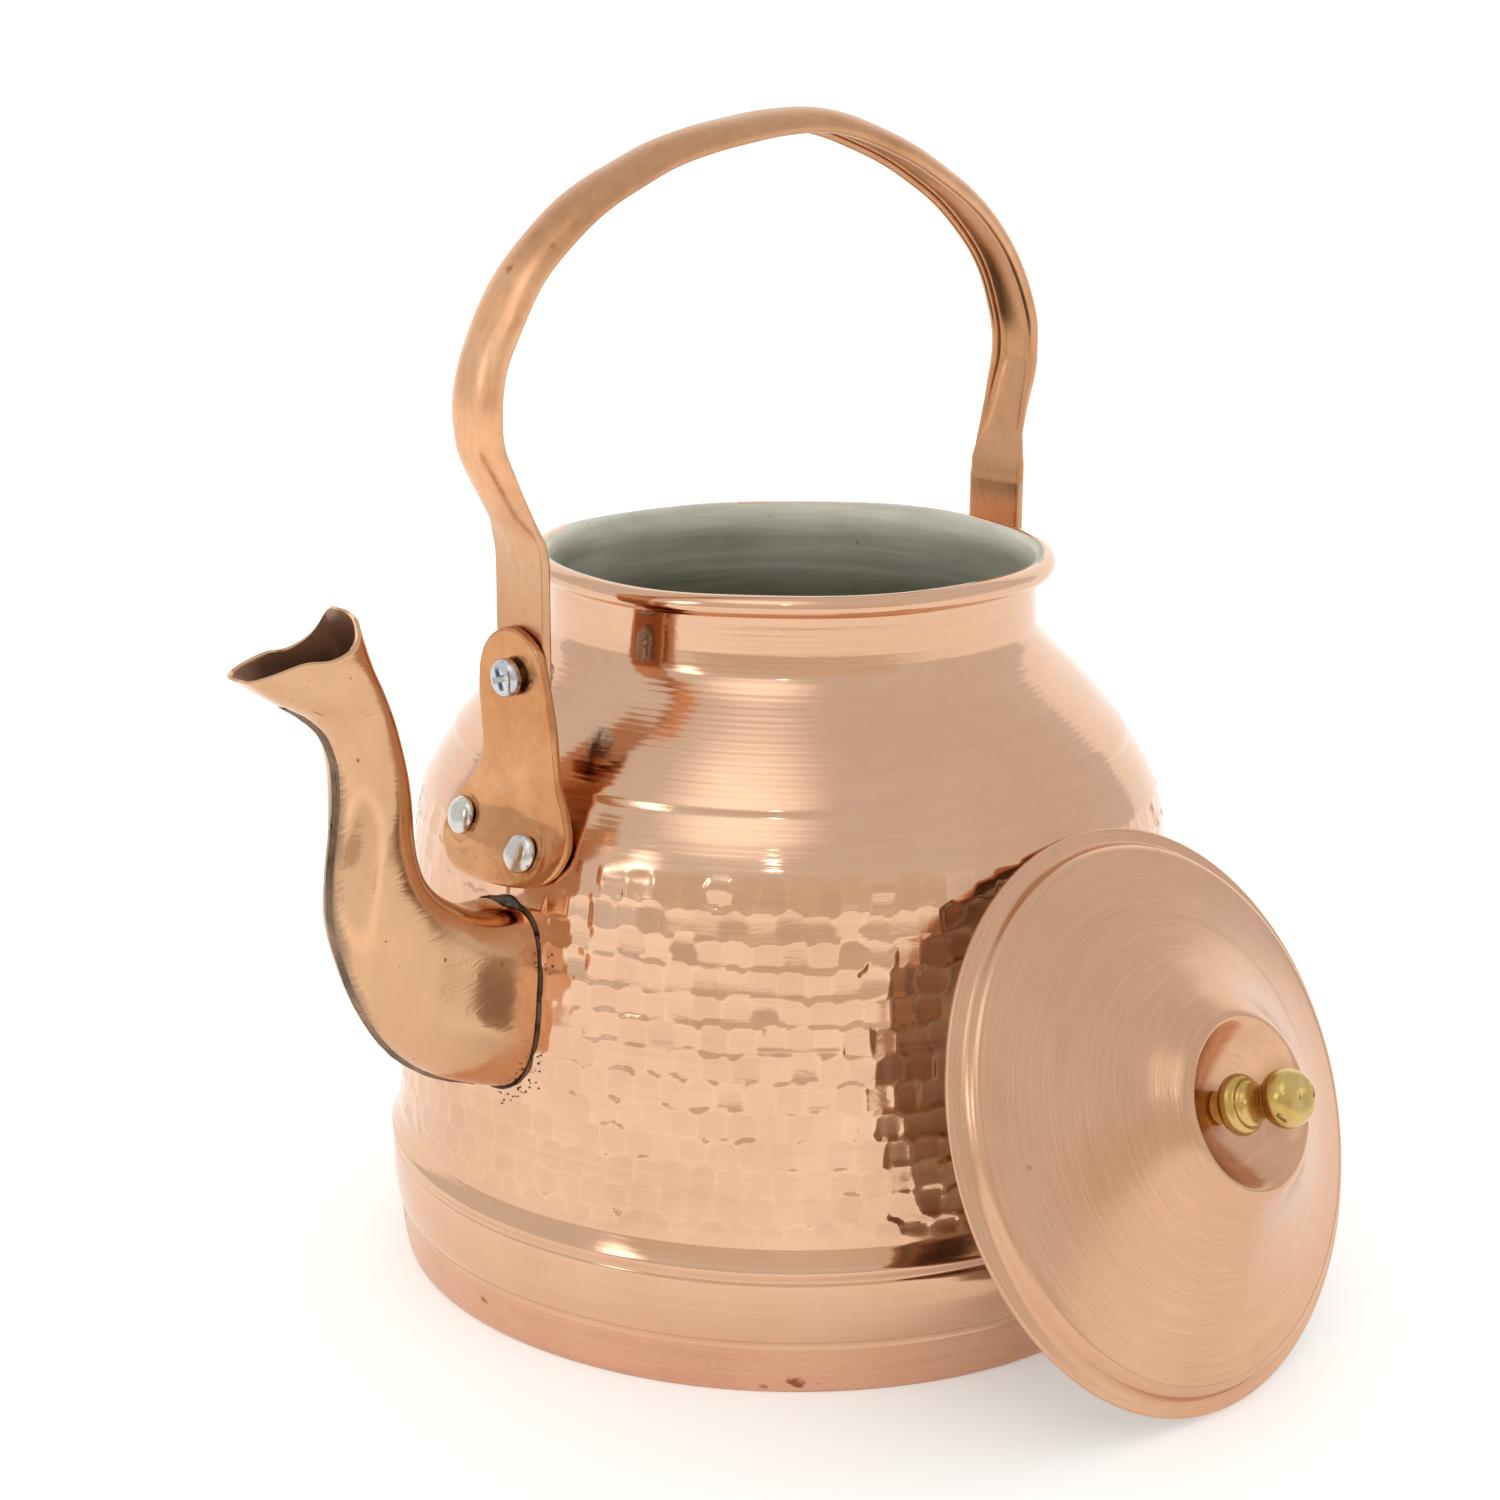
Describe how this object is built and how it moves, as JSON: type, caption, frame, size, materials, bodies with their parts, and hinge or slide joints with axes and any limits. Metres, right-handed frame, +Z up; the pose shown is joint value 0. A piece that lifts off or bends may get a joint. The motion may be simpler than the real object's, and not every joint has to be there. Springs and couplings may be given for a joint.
{
  "type": "copper water jug (kettle)",
  "caption": "Spun and hammered copper kettle with a swan-neck spout, swinging bail handle and a loose knobbed lid leaning on its side.",
  "frame": {"origin": "centre of the kettle's base, on the surface it stands on", "axes": "+Z up along the kettle's axis; the spout points along -X and the handle's arch lies in the XZ plane; the lid leans on the -Y side"},
  "size_m": [0.2413, 0.235, 0.2559],
  "materials": {
    "polished_copper": null,
    "satin_copper": "satin copper strap and sheet with light tarnish",
    "solder": "dull grey solder, dark with flux",
    "aluminium_rivet": "domed, satin",
    "zinc_steel": "zinc plated",
    "turned_brass": "turned and polished, slightly green"
  },
  "bodies": {
    "kettle": {"body_shell": "polished_copper", "spout": "polished_copper", "spout_seam": "solder", "spout_solder_joint": "solder", "bracket_front": "satin_copper", "bracket_rear": "satin_copper", "rivet_front_left": "aluminium_rivet", "rivet_front_right": "aluminium_rivet", "rivet_rear_left": "aluminium_rivet", "rivet_rear_right": "aluminium_rivet", "pivot_screw_front": "zinc_steel", "pivot_screw_rear": "zinc_steel", "pivot_nut_front": "zinc_steel", "pivot_nut_rear": "zinc_steel"},
    "handle": {"handle_bail": "satin_copper"},
    "lid": {"lid_shell": "polished_copper", "lid_knob": "turned_brass", "lid_knob_screw": "zinc_steel"}
  },
  "joints": [
    {"name": "handle_swing", "type": "hinge", "parent": "kettle", "child": "handle", "pos_m": [0, 0, 0.1443], "axis": [1, 0, 0], "range_deg": [-116, 104]},
    {"name": "lid_slide", "type": "slide", "parent": "kettle", "child": "lid", "axis": [0, -1, 0], "range_m": [0, 0.12]}
  ]
}
